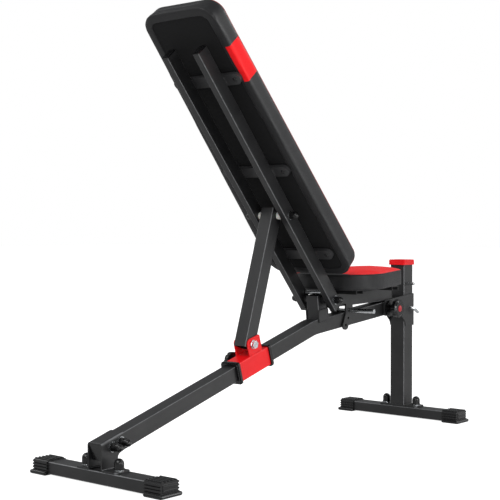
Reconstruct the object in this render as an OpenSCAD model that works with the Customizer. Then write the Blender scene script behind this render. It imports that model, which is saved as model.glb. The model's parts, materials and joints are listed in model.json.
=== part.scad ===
// Adjustable weight bench on two feet: a bent main beam carries a hinged
// backrest, held by a prop on a pinned slider, and a hinged seat on a pin.
// Millimetres. +X runs from the rear foot to the front post, +Z is up and the
// origin is on the floor, midway between the feet.

/* [Model] */
// Sub-part to build, or all of them

/* [Pose] */
// Backrest angle above horizontal, degrees
back_angle = 49; // [46:1:52]
// Seat tilt at its lowest pin hole, degrees
seat_tilt = 1.5; // [0.5:0.25:2]

/* [Feet] */
// Distance between the centre lines of the two feet
foot_spacing = 1240; // [1230:2:1250]
// Length of each foot tube
foot_length = 410; // [380:10:460]
// Width of the foot tube
foot_w = 50; // [46:1:54]
// Height of the foot tube
foot_h = 30; // [28:1:34]
// Height of the foot tube above the floor
foot_lift = 3; // [3:0.5:5]
// Length of tube covered by each end cap
foot_cap_cover = 46; // [36:1:60]
// Side and end wall of the end caps
foot_cap_wall = 3; // [2.5:0.5:4]
// Distance of the foot bolts from the centre plane
foot_bolt_y = 53; // [50:1:58]

/* [Main beam] */
// Outer size of the square main beam
beam = 40; // [39:0.5:41]
// Wall of the main beam
beam_wall = 2; // [1.5:0.25:3]
// Slope of the rear length, degrees
rear_slope = 16.2; // [15.9:0.1:16.5]
// Slope of the front length, degrees
front_slope = 5.7; // [5:0.1:6.5]
// Where the two centre lines meet, along X
bend_x = 152; // [148:1:156]
// Height of that meeting point
bend_z = 302.8; // [299:0.2:306]
// Centre-line radius of the bend
bend_radius = 160; // [100:10:200]
// Distance between the adjusting holes of the slider
detent_pitch = 43; // [38:1:45]

/* [Rear bracket] */
// Sheet of the folded rear bracket
bracket_t = 3; // [2.5:0.5:3.5]
// Length of each flange on the foot
flange_len = 46; // [42:1:50]
// How far the cheeks run up the beam from the foot centre
cheek_reach = 47; // [44:1:54]

/* [Front post] */
// Outer size of the square front post
post = 50; // [49:0.5:51]
// Wall of the front post
post_wall = 2.5; // [2:0.25:3]
// Height of the post's top above the floor
post_top = 477; // [470:1:484]
// Height of the post cap
post_cap_h = 16; // [14:1:20]
// Sheet of the front bracket cheeks
cheek_t = 3; // [2.5:0.5:4]
// How far the front cheeks reach behind the post centre
front_cheek_reach = 140; // [134:1:144]
// Height of the upper pin above the floor
upper_pin_z = 408; // [402:1:414]
// Height of the L-shaped lock pin above the floor
lock_pin_z = 334.5; // [331:0.5:338]
// Height of the front cheeks' lower edge above the floor
front_cheek_low = 280; // [274:1:284]
// Length of the plate under the post, across the bench
base_plate_len = 140; // [136:1:150]

/* [Pivot post] */
// Outer size of the short post under the pivot
pivot_post = 40; // [38:0.5:41]
// Position of the main pivot along X
pivot_x = 187; // [185:1:189]
// Height of the main pivot
pivot_z = 379; // [377:0.5:381]
// Height of the post's top above the pivot
pivot_post_over = 12; // [11:0.5:12.5]
// Diameter of the rest rod across the post
rest_rod_d = 12; // [10:0.5:12]

/* [Backrest] */
// Depth of the backrest rails
rail_depth = 38; // [36:1:40]
// Width of the backrest rails
rail_w = 20; // [18:1:22]
// Gap between the two rails
rail_gap = 82; // [81:0.5:84]
// Length of rail above the pivot
rail_up = 822; // [790:2:850]
// Length of rail below the pivot
rail_down = 25; // [22:1:26]
// Distance of the prop bolt from the pivot
prop_bolt_at = 304.8; // [300:0.4:310]
// Width of the pressed cross straps
strap_w = 31; // [28:1:34]
// Length of the cross straps
strap_len = 218; // [206:2:224]
// Depth of the cross straps, the gap between rails and pad
strap_t = 10; // [8:0.5:12]
// Distance of the lowest strap from the pivot
strap_at = 148.7; // [140:1:158]
// Distance between straps
strap_pitch = 286; // [276:2:290]
// Lower end of the back pad above the pivot
pad_low = 77; // [77:1:84]
// Upper end of the back pad above the pivot
pad_high = 917; // [900:1:930]
// Half width of the back pad at its lower end
pad_half_low = 141; // [132:1:148]
// Half width of the back pad at its upper end
pad_half_high = 114; // [110:1:122]
// Thickness of the back pad
pad_t = 54; // [50:1:60]
// Corner radius of the back pad
pad_corner = 45; // [36:1:55]
// Rounding of the back pad's front edge
pad_roll = 17; // [12:1:20]
// Width of the vinyl border round the boards
border = 22; // [18:1:26]

/* [Prop] */
// Outer size of the square prop tube
prop = 40; // [38:0.5:40]
// Distance between the two prop bolts
prop_len = 348.3; // [347:0.3:350]
// Prop bolts sit this far in front of the tube's centre line
prop_offset = 6; // [5:0.5:7]

/* [Slider] */
// Outer size of the slider sleeve
sleeve = 50; // [49:0.5:51]
// Length of the slider sleeve
sleeve_len = 120; // [114:1:126]
// Wall of the slider sleeve
sleeve_wall = 2.5; // [2:0.25:3]
// Width of the slider ears
ear_w = 52; // [48:1:56]
// Sheet of the slider ears
ear_t = 3; // [2.5:0.5:3]
// Height of the lower prop bolt above the sleeve's centre line
ear_bolt_v = 51.5; // [50:0.5:53]
// Lower prop bolt in front of the sleeve's middle
ear_bolt_u = 8.6; // [6:0.2:11]

/* [Seat] */
// Front end of the seat tube, from the pivot
seat_tube_end = 343; // [330:1:352]
// Rear edge of the seat pad, from the pivot
seat_back = 16; // [15.5:0.5:18]
// Front edge of the seat pad, from the pivot
seat_front = 330; // [316:1:340]
// Widest half width of the seat pad, towards the rear
seat_half_back = 142; // [136:1:150]
// Half width of the seat pad across its front corners
seat_half_front = 96; // [90:1:104]
// Radius of the seat pad's rear corners
seat_r_back = 90; // [70:2:94]
// Radius of the seat pad's front corners
seat_r_front = 67; // [62:1:76]
// Height of the seat pad's seam above its underside
seat_pad_t = 45; // [42:1:48]
// Height of the crown above the seam
seat_crown = 9; // [6:1:12]
// Height of the seat tube
seat_tube_h = 38; // [36:0.5:38]
// Gap between seat tube and seat pad, filled by the cross channels
seat_channel_h = 12; // [11.5:0.25:12.5]
// Length of the cross channels
seat_channel_len = 190; // [180:2:196]
// Width of the cross channels
seat_channel_w = 34; // [30:1:38]
// Rear cross channel from the pivot
seat_channel_rear = 70; // [66:1:84]
// Front cross channel from the pivot
seat_channel_front = 250; // [240:1:258]
// Radius of the arc of pin holes about the pivot
pin_arc = 127; // [125:0.5:129]
// Angle between pin holes
pin_step = 10.5; // [10:0.25:11]
// Diameter of the seat pin
seat_pin_d = 8; // [7:0.5:8]
// Length of the seat pin's handle
seat_pin_handle = 80; // [60:2:100]

/* [Fasteners] */
// Shank diameter of pivot, prop and foot bolts
bolt_d = 12; // [11:0.5:12]
// Across flats of the cap nuts
nut_af = 19; // [18:0.5:20]
// Outer diameter of the washers
washer_d = 24; // [22:0.5:25]
// Washer thickness
washer_t = 2.5; // [2:0.1:3]
// Diameter of the pull knobs
knob_d = 54; // [50:1:56]
// Travel of the pull knobs
knob_travel = 12; // [10:1:14]

/* [Hidden] */
$fn = 48;
fit = 0.05;
seat_gap = 0.3;
c_black = "#2f2f30";
c_plastic = "#1d1d1f";
c_red = "#e22a30";
c_zinc = "#c9cccf";
c_vinyl = "#262628";
c_white = "#f1f1ee";
c_board = "#3a3a3c";

post_x = foot_spacing / 2;
foot_top = foot_lift + foot_h;
rear_u = [cos(rear_slope), sin(rear_slope)];
rear_v = [-sin(rear_slope), cos(rear_slope)];
bend_turn = rear_slope - front_slope;
bend_tan = bend_radius * tan(bend_turn / 2);
bend_mid = 90 + (rear_slope + front_slope) / 2;
bend_c = [bend_x, bend_z] - bend_radius / cos(bend_turn / 2) * [cos(bend_mid), sin(bend_mid)];
rear_len = (post_x + bend_x + 16) / cos(rear_slope) - bend_tan;
front_end_x = post_x - post / 2 - 4;
front_len = (front_end_x - bend_x) / cos(front_slope) - bend_tan;

pivot = [pivot_x, pivot_z];
prop_top = pivot + prop_bolt_at * [-cos(back_angle), sin(back_angle)];
ear_from_bend = [bend_x, bend_z] + ear_bolt_u * rear_u + ear_bolt_v * rear_v;
closure = prop_top - ear_from_bend;
closure_u = closure * rear_u;
slider_back = -closure_u + sqrt(closure_u * closure_u - closure * closure + prop_len * prop_len);
slider_c = [bend_x, bend_z] - slider_back * rear_u;
ear_bolt = ear_from_bend - slider_back * rear_u;
prop_vec = prop_top - ear_bolt;
prop_lean = atan2(prop_vec[0], prop_vec[1]);

rail_in = rail_gap / 2;
rail_out = rail_in + rail_w;
bolt_r = bolt_d / 2;
plate_in = beam / 2 + 1;
plate_t = 5;
plate_out = plate_in + plate_t;
seat_tube_top = 11.8;
seat_tube_low = seat_tube_top - seat_tube_h;
seat_pad_low = seat_tube_top + seat_channel_h + seat_gap;
pad_rear = rail_depth / 2 + strap_t + 2 * seat_gap;
board_t = 12;
vinyl_t = 2;
beam_to_pivot = (pivot - [bend_x, bend_z]) * [-sin(front_slope), cos(front_slope)];
pin_drop = beam_to_pivot - beam / 2 - seat_pin_d / 2 - 0.1;
first_hole = asin(pin_drop / pin_arc) - front_slope + seat_tilt;
knob_neck = 18;

// ---------- helpers ----------

// Corner points of an outline with every corner rounded by its own radius
function round_pts(p, r, n = 8) = [
  for (i = [0 : len(p) - 1])
    let (a = p[(i + len(p) - 1) % len(p)], b = p[i], c = p[(i + 1) % len(p)],
         u = (a - b) / norm(a - b), v = (c - b) / norm(c - b),
         half = acos(u * v) / 2, o = b + (u + v) / norm(u + v) * r[i] / sin(half),
         s = b + u * r[i] / tan(half) - o, e = b + v * r[i] / tan(half) - o,
         a0 = atan2(s[1], s[0]),
         turn = (atan2(e[1], e[0]) - a0 + 540) % 360 - 180)
      for (k = [0 : (r[i] > 0 ? n : 0)])
        o + r[i] * [cos(a0 + turn * k / n), sin(a0 + turn * k / n)]
];

// Outline moved inwards by d
function inset(p, d) = [
  for (i = [0 : len(p) - 1])
    let (a = p[(i + len(p) - 1) % len(p)], b = p[i], c = p[(i + 1) % len(p)],
         u = (b - a) / norm(b - a), v = (c - b) / norm(c - b),
         m = [u[1], -u[0]] * sign(turning(p)), n = [v[1], -v[0]] * sign(turning(p)))
      b + d * (m + n) / (1 + m * n)
];
// Negative for outlines that run anticlockwise
function turning(p) = let (u = p[1] - p[0], v = p[2] - p[1]) u[1] * v[0] - u[0] * v[1];
function pad_pts(p, r, d) = round_pts(inset(p, d), [for (x = r) max(x - d, 4)]);

// Solid through a stack of outlines with equal point counts, as [height, outline]
module loft(rings) {
  n = len(rings[0][1]);
  m = len(rings);
  pts = [for (g = rings, q = g[1]) [q[0], q[1], g[0]]];
  polyhedron(pts, concat(
    [[for (i = [0 : n - 1]) i]], [[for (i = [n - 1 : -1 : 0]) (m - 1) * n + i]],
    [for (k = [0 : m - 2], i = [0 : n - 1]) let (a = k * n + i, b = k * n + (i + 1) % n)
      each [[a, a + n, b], [b, a + n, b + n]]]
  ));
}
// Quarter-round from a side of height h up to its top edge
function roll(h, r) = [for (a = [0 : 22.5 : 90]) [h - r + r * sin(a), r * (1 - cos(a))]];

// Rounded rectangle with true arcs
module rsq(w, h, r) {
  square([w - 2 * r, h], center = true);
  square([w, h - 2 * r], center = true);
  for (x = [-1, 1], y = [-1, 1]) translate([x * (w / 2 - r), y * (h / 2 - r)]) circle(r);
}

module tube2d(w, h, t, r) {
  difference() {
    rsq(w, h, r);
    rsq(w - 2 * t, h - 2 * t, max(r - t, 1));
  }
}

module tube(w, h, t, r, l) {
  linear_extrude(l) tube2d(w, h, t, r);
}

// Plug for a tube end: flat head and a spigot with ribs of clearance, head up
module plug(w, h, t, r, head, deep) {
  linear_extrude(head) rsq(w, h, r);
  translate([0, 0, -deep]) linear_extrude(deep + 0.1)
    rsq(w - 2 * t - 2 * seat_gap, h - 2 * t - 2 * seat_gap, max(r - t - seat_gap, 0.8));
}

// Cylinder along Y from y0 to y1
module ycyl(r, y0, y1) {
  translate([0, y0, 0]) rotate([-90, 0, 0]) cylinder(r = r, h = y1 - y0);
}

// Outline drawn in X and Z, made a plate between y0 and y1
module xz_plate(y0, y1) {
  translate([0, y1, 0]) rotate([90, 0, 0]) linear_extrude(y1 - y0) children();
}

module both_sides() {
  children();
  mirror([0, 1, 0]) children();
}

// Domed cap nut, face at z = 0 and dome up, with its blind bore
module cap_nut(body = 15) {
  dome = nut_af / 2 - 0.8;
  difference() {
    union() {
      cylinder(r = nut_af / 2 + 1.4, h = 2);
      cylinder(d = nut_af / cos(30), h = 11, $fn = 6);
      cylinder(r = dome, h = body);
      translate([0, 0, body]) sphere(dome);
    }
    translate([0, 0, -1]) cylinder(r = bolt_r + fit, h = 16);
  }
}

// Bell-shaped nut cover on the foot bolts
module bell_nut() {
  bell = nut_af / 2 + 2;
  difference() {
    union() {
      cylinder(r = bell + 1, h = 2.5);
      cylinder(r = bell, h = 13);
      translate([0, 0, 13]) sphere(bell);
    }
    translate([0, 0, -1]) cylinder(r = bolt_r + fit, h = 16);
  }
}

module washer() {
  difference() {
    cylinder(d = washer_d, h = washer_t);
    translate([0, 0, -1]) cylinder(r = bolt_r + 0.4, h = washer_t + 2);
  }
}

// Frames of the moving groups
module at_pivot() { translate([pivot_x, 0, pivot_z]) children(); }
module back_frame() { at_pivot() rotate([0, back_angle, 0]) children(); }
module seat_frame_at() { at_pivot() rotate([0, -seat_tilt, 0]) children(); }
module slider_frame() {
  translate([slider_c[0], 0, slider_c[1]]) rotate([0, -rear_slope, 0]) children();
}
module prop_frame() {
  translate([ear_bolt[0], 0, ear_bolt[1]]) rotate([0, prop_lean, 0]) children();
}
// Rear length of the beam: x uphill from the bend, z square to the beam
module rear_frame() {
  translate([bend_x, 0, bend_z]) rotate([0, -rear_slope, 0]) children();
}
// Front length of the beam: x forward from the bend, z square to the beam
module front_frame() {
  translate([bend_x, 0, bend_z]) rotate([0, -front_slope, 0]) children();
}

// ---------- feet ----------

module foot_tube(x) {
  difference() {
    translate([x, foot_length / 2, foot_lift + foot_h / 2]) rotate([90, 0, 0])
      tube(foot_w, foot_h, 2, 4, foot_length);
    for (y = [-1, 1]) translate([x, y * foot_bolt_y, foot_lift - 1])
      cylinder(r = bolt_r + 0.25, h = foot_h + 2);
  }
}

module rear_foot_tube() { color(c_black) foot_tube(-post_x); }
module front_foot_tube() { color(c_black) foot_tube(post_x); }

// Cross-section of an end cap: ribbed sides and top on a flared sole
module foot_cap_2d() {
  w = foot_w + 2 * foot_cap_wall;
  h = foot_top + foot_cap_wall - 0.5;
  translate([0, 0.5 + h / 2]) rsq(w, h, 4);
  for (s = [-1, 1], k = [0 : 3]) translate([s * (w / 2 - 0.3), 11 + k * 7]) circle(2.1);
  for (k = [-2 : 2]) translate([k * 10.5, foot_top + foot_cap_wall - 0.3]) circle(2.1);
  polygon(round_pts([[-w / 2 - 3.5, 0], [w / 2 + 3.5, 0], [w / 2 - 1, 10], [-w / 2 + 1, 10]],
                    [3, 3, 0, 0]));
}

module foot_cap() {
  full = foot_cap_cover + foot_cap_wall + 2;
  difference() {
    rotate([90, 0, 0]) linear_extrude(full) foot_cap_2d();
    translate([0, 1, foot_lift + foot_h / 2]) rotate([90, 0, 0]) linear_extrude(foot_cap_cover + 1.3)
      rsq(foot_w + 2 * fit, foot_h + 2 * fit, 4);
    translate([0, -full + 1.8, foot_lift + foot_h / 2 + 1]) rotate([90, 0, 0])
      linear_extrude(3) rsq(foot_w - 8, foot_h - 11, 3);
  }
}

module foot_caps(x) {
  both_sides() translate([x, -foot_length / 2 + foot_cap_cover, 0]) foot_cap();
}

module rear_foot_caps() { color(c_plastic) foot_caps(-post_x); }
module front_foot_caps() { color(c_plastic) foot_caps(post_x); }

// Coach bolts up through the feet: low head under the tube
module foot_bolts() {
  color(c_zinc) for (x = [-1, 1], y = [-1, 1])
    translate([x * post_x, y * foot_bolt_y, 0]) {
      translate([0, 0, foot_lift - 2.4]) cylinder(r1 = bolt_r + 3, r2 = bolt_r + 5, h = 2.2);
      translate([0, 0, foot_lift - 0.5]) cylinder(r = bolt_r, h = foot_h + 20);
    }
}

// ---------- rear bracket ----------

rear_x = -post_x;
beam_at_rear = bend_z - (bend_x - rear_x) * tan(rear_slope);
cheek_in = beam / 2 + seat_gap;
fold_r = 4;
bolt_run = [8, 34];
function bolt_z(d) = beam_at_rear + 4 + d * tan(rear_slope);

// Cheek outline: leg on the foot, arm up the beam
module cheek_2d() {
  w = foot_w / 2;
  top = beam / 2 + seat_gap + bracket_t;
  zc = function (x) beam_at_rear + (x - rear_x) * tan(rear_slope);
  lift = top / cos(rear_slope);
  tip = rear_x + cheek_reach;
  low = foot_top + seat_gap + fold_r + bracket_t - 0.1;
  polygon(round_pts([
    [rear_x - w, low],
    [rear_x + w, low],
    [rear_x + w, zc(rear_x + w) - 20],
    [tip + 6, zc(tip + 6) - 17],
    [tip - 6, zc(tip - 6) + lift],
    [rear_x - w, zc(rear_x - w) + lift]
  ], [0, 0, 12, 8, 0, 4]));
}

// Section across the beam: web over it and a cheek down each side
module saddle_2d() {
  w = 2 * (cheek_in + bracket_t);
  top = cheek_in + bracket_t;
  difference() {
    translate([0, top - 80]) rsq(w, 160, fold_r + bracket_t);
    translate([0, cheek_in - 80]) rsq(2 * cheek_in, 160, fold_r);
    translate([-50, -200]) square([100, 120]);
  }
}

// Section of one folded flange, from the cheek out along the foot; its leg
// runs up inside the cheek, a hair thinner than the cheek
module flange_2d() {
  turn = fold_r + bracket_t - 1.2;
  hair = 0.04;
  polygon(round_pts([
    [0, 0], [flange_len + bracket_t, 0], [flange_len + bracket_t, bracket_t],
    [bracket_t, bracket_t], [bracket_t, turn + 0.1], [bracket_t - hair, turn + 0.1],
    [bracket_t - hair, turn + 7], [hair, turn + 7], [hair, turn + 0.1], [0, turn + 0.1]
  ], [turn, 0, 0, fold_r - 1.2, 0, 0, 0, 0, 0, 0]));
}

module rear_bracket() {
  low = foot_top + seat_gap;
  color(c_black) difference() {
    union() {
      intersection() {
        rear_frame() translate([-1000, 0, 0]) rotate([90, 0, 90]) linear_extrude(400) saddle_2d();
        xz_plate(-60, 60) cheek_2d();
      }
      both_sides() intersection() {
        translate([rear_x - foot_w / 2, cheek_in, low]) rotate([90, 0, 90])
          linear_extrude(foot_w) flange_2d();
        translate([rear_x, cheek_in + (flange_len + bracket_t) / 2, low - 1]) linear_extrude(40)
          polygon(round_pts([
            [-foot_w / 2, -flange_len / 2 - 2], [foot_w / 2, -flange_len / 2 - 2],
            [foot_w / 2, flange_len / 2 + 1.5], [-foot_w / 2, flange_len / 2 + 1.5]
          ], [0, 0, 14, 14]));
      }
    }
    for (d = bolt_run) translate([rear_x + d, 0, bolt_z(d)]) ycyl(bolt_r + 0.25, -40, 40);
    for (y = [-1, 1]) translate([rear_x, y * foot_bolt_y, foot_top - 1])
      cylinder(r = bolt_r + 0.25, h = bracket_t + 4);
  }
}

// Hex bolts through cheeks and beam, heads on the far side
module bracket_bolts() {
  face = cheek_in + bracket_t;
  color(c_zinc) for (d = bolt_run)
    translate([rear_x + d, 0, bolt_z(d)]) {
      ycyl(bolt_r, -face - washer_t - 12, face + 1);
      translate([0, face + seat_gap, 0]) rotate([-90, 0, 0])
        cylinder(d = nut_af / cos(30), h = 7.5, $fn = 6);
    }
}

// ---------- main beam ----------

// The bend is a hair fuller than the straight lengths that run into it
module beam_bend() {
  translate([bend_c[0], 0, bend_c[1]]) rotate([90, 0, 0])
    rotate([0, 0, 90 + front_slope]) rotate_extrude(angle = bend_turn, $fn = 96)
      translate([bend_radius, 0]) rotate(90)
        tube2d(beam + 0.1, beam + 0.1, beam_wall + 0.1, 3.05);
}

module main_beam() {
  packer = post / 2 - seat_gap - beam / 2;
  lap = 1;
  color(c_black) difference() {
    union() {
      rear_frame() translate([-bend_tan + lap, 0, 0]) rotate([0, -90, 0])
        tube(beam, beam, beam_wall, 3, rear_len + lap);
      front_frame() translate([bend_tan - lap, 0, 0]) rotate([0, 90, 0])
        tube(beam, beam, beam_wall, 3, front_len + lap);
      beam_bend();
      // packing bars that fill the front cheeks
      both_sides() front_frame() translate([bend_tan + front_len - 108, -beam / 2 - packer, -beam / 2 + 4])
        cube([108, packer + 0.1, beam - 8]);
    }
    for (d = bolt_run) translate([rear_x + d, 0, bolt_z(d)]) ycyl(bolt_r + 0.25, -40, 40);
    // adjusting holes in the far wall, one under the slider's plunger at rest
    for (k = [-4 : 2]) rear_frame() translate([-slider_back + k * detent_pitch, 0, 0])
      ycyl(5.2, 10, 30);
    front_frame() translate([knob_u, 0, 0]) ycyl(5.2, -40, 0);
  }
}

module beam_end_plug() {
  color(c_plastic) rear_frame() translate([-bend_tan - rear_len - seat_gap, 0, 0])
    rotate([0, -90, 0]) plug(beam, beam, beam_wall, 3, 3, 18);
}

// ---------- pivot post ----------

post_u = (pivot_x + 2.5 - bend_x) / cos(front_slope);
post_len = (pivot_z + pivot_post_over - bend_z - (pivot_x - bend_x) * tan(front_slope)) * cos(front_slope);

module post_frame() {
  front_frame() translate([post_u, 0, 0]) children();
}

module pivot_post() {
  color(c_black) difference() {
    post_frame() translate([0, 0, beam / 2 + seat_gap])
      tube(pivot_post, pivot_post, 2.5, 3, post_len - beam / 2 - seat_gap);
    at_pivot() ycyl(bolt_r + fit, -40, 40);
  }
}

// Welded cheeks at the post's foot
module pivot_post_gussets() {
  color(c_black) both_sides() post_frame()
    xz_plate(-pivot_post / 2 - 2.8, -pivot_post / 2 - 0.0) translate([0, beam / 2 - 8])
      polygon(round_pts([[-22, 0], [22, 0], [22, 33], [-22, 33]], [0, 0, 2, 2]));
}

// Rod that lies across the post's top and carries the rear of the seat
module rest_rod() {
  color(c_zinc) at_pivot() translate([0, 0, pivot_post_over + seat_gap + rest_rod_d / 2])
    ycyl(rest_rod_d / 2, -rail_in + 2, rail_in - 2);
}

module pivot_bolt() {
  face = rail_out + seat_gap + washer_t + seat_gap;
  color(c_zinc) at_pivot() ycyl(bolt_r, -face - 13, face + 13);
}

module pivot_spacers() {
  color(c_white) at_pivot() both_sides() difference() {
    ycyl(11, -rail_in + seat_gap, -plate_out - seat_gap);
    ycyl(bolt_r + 0.1, -60, 0);
  }
}

// Cap nuts of the fixed frame: foot bolts, bracket bolts and the main pivot
module frame_cap_nuts() {
  z_rear = foot_top + 3 * seat_gap + bracket_t + washer_t;
  z_front = foot_top + 3 * seat_gap + 4 + washer_t;
  side = cheek_in + bracket_t + 2 * seat_gap + washer_t;
  rim = rail_out + 2 * seat_gap + washer_t;
  color(c_plastic) {
    for (y = [-1, 1]) {
      translate([-post_x, y * foot_bolt_y, z_rear]) bell_nut();
      translate([post_x, y * foot_bolt_y, z_front]) bell_nut();
      at_pivot() translate([0, y * rim, 0]) rotate([-90 * y, 0, 0]) cap_nut();
    }
    for (d = bolt_run) translate([rear_x + d, -side, bolt_z(d)]) rotate([90, 0, 0]) cap_nut(20);
  }
}

module frame_washers() {
  z_rear = foot_top + 2 * seat_gap + bracket_t;
  z_front = foot_top + 2 * seat_gap + 4;
  side = cheek_in + bracket_t + seat_gap;
  rim = rail_out + seat_gap;
  color(c_zinc) {
    for (y = [-1, 1]) {
      translate([-post_x, y * foot_bolt_y, z_rear]) washer();
      translate([post_x, y * foot_bolt_y, z_front]) washer();
      at_pivot() translate([0, y * rim, 0]) rotate([-90 * y, 0, 0]) washer();
    }
    for (d = bolt_run) translate([rear_x + d, -side, bolt_z(d)]) rotate([90, 0, 0]) washer();
  }
}

// ---------- front post ----------

cheek_out = post / 2 + seat_gap + cheek_t;
knob_u = (post_x - 111 - bend_x) / cos(front_slope);
knob_pos = [bend_x, bend_z] + knob_u * [cos(front_slope), sin(front_slope)];
upper_pin_r = 4;
lock_pin_r = 4.5;

module front_base_plate() {
  color(c_black) difference() {
    translate([post_x, 0, foot_top + seat_gap]) linear_extrude(4)
      polygon(round_pts([
        [-foot_w / 2, -base_plate_len / 2], [foot_w / 2, -base_plate_len / 2],
        [foot_w / 2, base_plate_len / 2], [-foot_w / 2, base_plate_len / 2]
      ], [14, 14, 14, 14]));
    for (y = [-1, 1]) translate([post_x, y * foot_bolt_y, foot_top - 1])
      cylinder(r = bolt_r + 0.25, h = 8);
  }
}

module front_post() {
  low = foot_top + 2 * seat_gap + 4;
  color(c_black) difference() {
    translate([post_x, 0, low]) tube(post, post, post_wall, 4, post_top - low);
    translate([post_x, 0, upper_pin_z]) ycyl(upper_pin_r + fit, -40, 40);
    translate([post_x, 0, lock_pin_z]) ycyl(lock_pin_r + fit, -40, 40);
  }
}

// Cheeks that hold the beam's end and the post
module front_cheek_2d() {
  zc = function (x) bend_z + (x - bend_x) * tan(front_slope);
  back = post_x - front_cheek_reach;
  h = beam / 2 + 6;
  front = post_x + post / 2;
  knee = post_x - post;
  polygon(round_pts([
    [back, zc(back) - h + 6], [knee - 4, zc(knee - 4) - h + 3],
    [post_x - post / 2 + 2, front_cheek_low + 12], [post_x - post / 2 + 5, front_cheek_low],
    [front, front_cheek_low], [front, zc(front) + h],
    [back, zc(back) + h]
  ], [10, 20, 8, 0, 0, 3, 10]));
}

module front_bracket() {
  color(c_black) difference() {
    both_sides() xz_plate(-cheek_out, -post / 2 - seat_gap) front_cheek_2d();
    translate([post_x, 0, lock_pin_z]) ycyl(lock_pin_r + fit, -60, 60);
    translate([knob_pos[0], -60, knob_pos[1]]) rotate([-90, 0, 0]) cylinder(r = 5.2, h = 60);
  }
}

module post_cap() {
  w = post + 8;
  color(c_red) translate([post_x, 0, post_top + 4.3 - post_cap_h]) difference() {
    union() {
      linear_extrude(post_cap_h - 1.5) rsq(w, w, 5);
      linear_extrude(post_cap_h) rsq(w - 3, w - 3, 4);
      linear_extrude(2.5) rsq(w + 1.6, w + 1.6, 5);
    }
    translate([0, 0, -1]) linear_extrude(post_cap_h - 4 + 1)
      rsq(post + 2 * seat_gap, post + 2 * seat_gap, 4);
  }
}

// Plain round pin through the post, rounded nose and head
module upper_pin() {
  color(c_zinc) translate([post_x, 0, upper_pin_z]) {
    ycyl(upper_pin_r, -44, post / 2 + 4);
    translate([0, -44, 0]) sphere(upper_pin_r);
    translate([0, post / 2 + 4, 0]) sphere(upper_pin_r);
  }
}

// Pin through cheeks and post, bent into a handle that hangs forward
module lock_pin() {
  r = lock_pin_r;
  bend = 9;
  y0 = -cheek_out - 5;
  color(c_zinc) translate([post_x, 0, lock_pin_z]) {
    ycyl(r, y0, cheek_out + 6);
    translate([0, cheek_out + 6, 0]) sphere(r);
    rotate([0, 30, 0]) {
      translate([bend, y0, 0]) rotate([0, 0, 180]) rotate_extrude(angle = 90)
        translate([bend, 0]) circle(r);
      translate([bend, y0 - bend, 0]) rotate([0, 90, 0]) cylinder(r = r, h = 20);
      translate([bend + 20, y0 - bend, 0]) sphere(r);
    }
  }
}

// ---------- pull knobs ----------

// Knob groups are drawn along +z, with z = 0 on the sheet they screw to
module knob_base() {
  difference() {
    union() {
      cylinder(r = knob_d / 2 - 3, h = 5);
      cylinder(r = knob_neck / 2 + 3, h = 8);
      cylinder(r = knob_neck / 2, h = 20);
    }
    translate([0, 0, -1]) cylinder(r = 5 + fit, h = 30);
    lobes(knob_d / 2 - 3, 5, 12);
  }
}

module lobes(r, h, n) {
  for (k = [0 : n - 1]) rotate(k * 360 / n) translate([r + 1.6, 0, -1]) cylinder(r = 3.4, h = h + 2);
}

module knob_body() {
  difference() {
    union() {
      translate([0, 0, 23]) cylinder(r = knob_d / 2, h = 11);
      translate([0, 0, 34]) cylinder(r1 = knob_d / 2 - 3, r2 = knob_d / 2 - 7, h = 3);
      translate([0, 0, 9]) cylinder(r = knob_neck / 2 + 3.5, h = 16);
    }
    translate([0, 0, 8]) cylinder(r = knob_neck / 2 + seat_gap, h = 14);
    translate([0, 0, 21.5]) cylinder(r = 5 + fit, h = 10);
    translate([0, 0, 35]) cylinder(r = 9.8, h = 5);
    translate([0, 0, 23]) lobes(knob_d / 2, 14, 10);
  }
}

module knob_cap() {
  translate([0, 0, 35 + seat_gap]) cylinder(r = 9.4, h = 2.2);
  intersection() {
    translate([0, 0, 37.4 - 24 + 1.6]) sphere(24);
    translate([0, 0, 37]) cylinder(r = 9.4, h = 4);
  }
}

module knob_plunger(nose) {
  translate([0, 0, -nose]) cylinder(r = 4.95, h = nose + 31);
  translate([0, 0, -nose - 2]) cylinder(r1 = 3, r2 = 4.95, h = 2);
}

module at_front_knob() {
  translate([knob_pos[0], -cheek_out - seat_gap, knob_pos[1]]) rotate([90, 0, 0]) children();
}
module at_slider_knob() {
  slider_frame() translate([0, sleeve / 2 + seat_gap, 0]) rotate([-90, 0, 0]) children();
}

module front_knob_base() { color(c_plastic) at_front_knob() knob_base(); }
module front_knob() { color(c_plastic) at_front_knob() knob_body(); }
module front_knob_cap() { color(c_red) at_front_knob() knob_cap(); }
module front_plunger() { color(c_zinc) at_front_knob() knob_plunger(cheek_t + post / 2 - beam / 2 + 1); }
module slider_knob_base() { color(c_plastic) at_slider_knob() knob_base(); }
module slider_knob() { color(c_plastic) at_slider_knob() knob_body(); }
module slider_knob_cap() { color(c_red) at_slider_knob() knob_cap(); }
module slider_plunger() { color(c_zinc) at_slider_knob() knob_plunger(sleeve / 2 - beam / 2 - 2); }

// ---------- backrest, drawn flat with the back towards -x ----------

module rail(side) {
  back_frame() difference() {
    translate([-rail_up, side * (rail_in + rail_w / 2), 0]) rotate([0, 90, 0])
      tube(rail_depth, rail_w, 2, 3, rail_up + rail_down);
    ycyl(bolt_r + fit, -80, 80);
    translate([-prop_bolt_at, 0, 0]) ycyl(bolt_r + fit, -80, 80);
  }
}

module left_rail() { color(c_black) rail(1); }
module right_rail() { color(c_black) rail(-1); }

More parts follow.
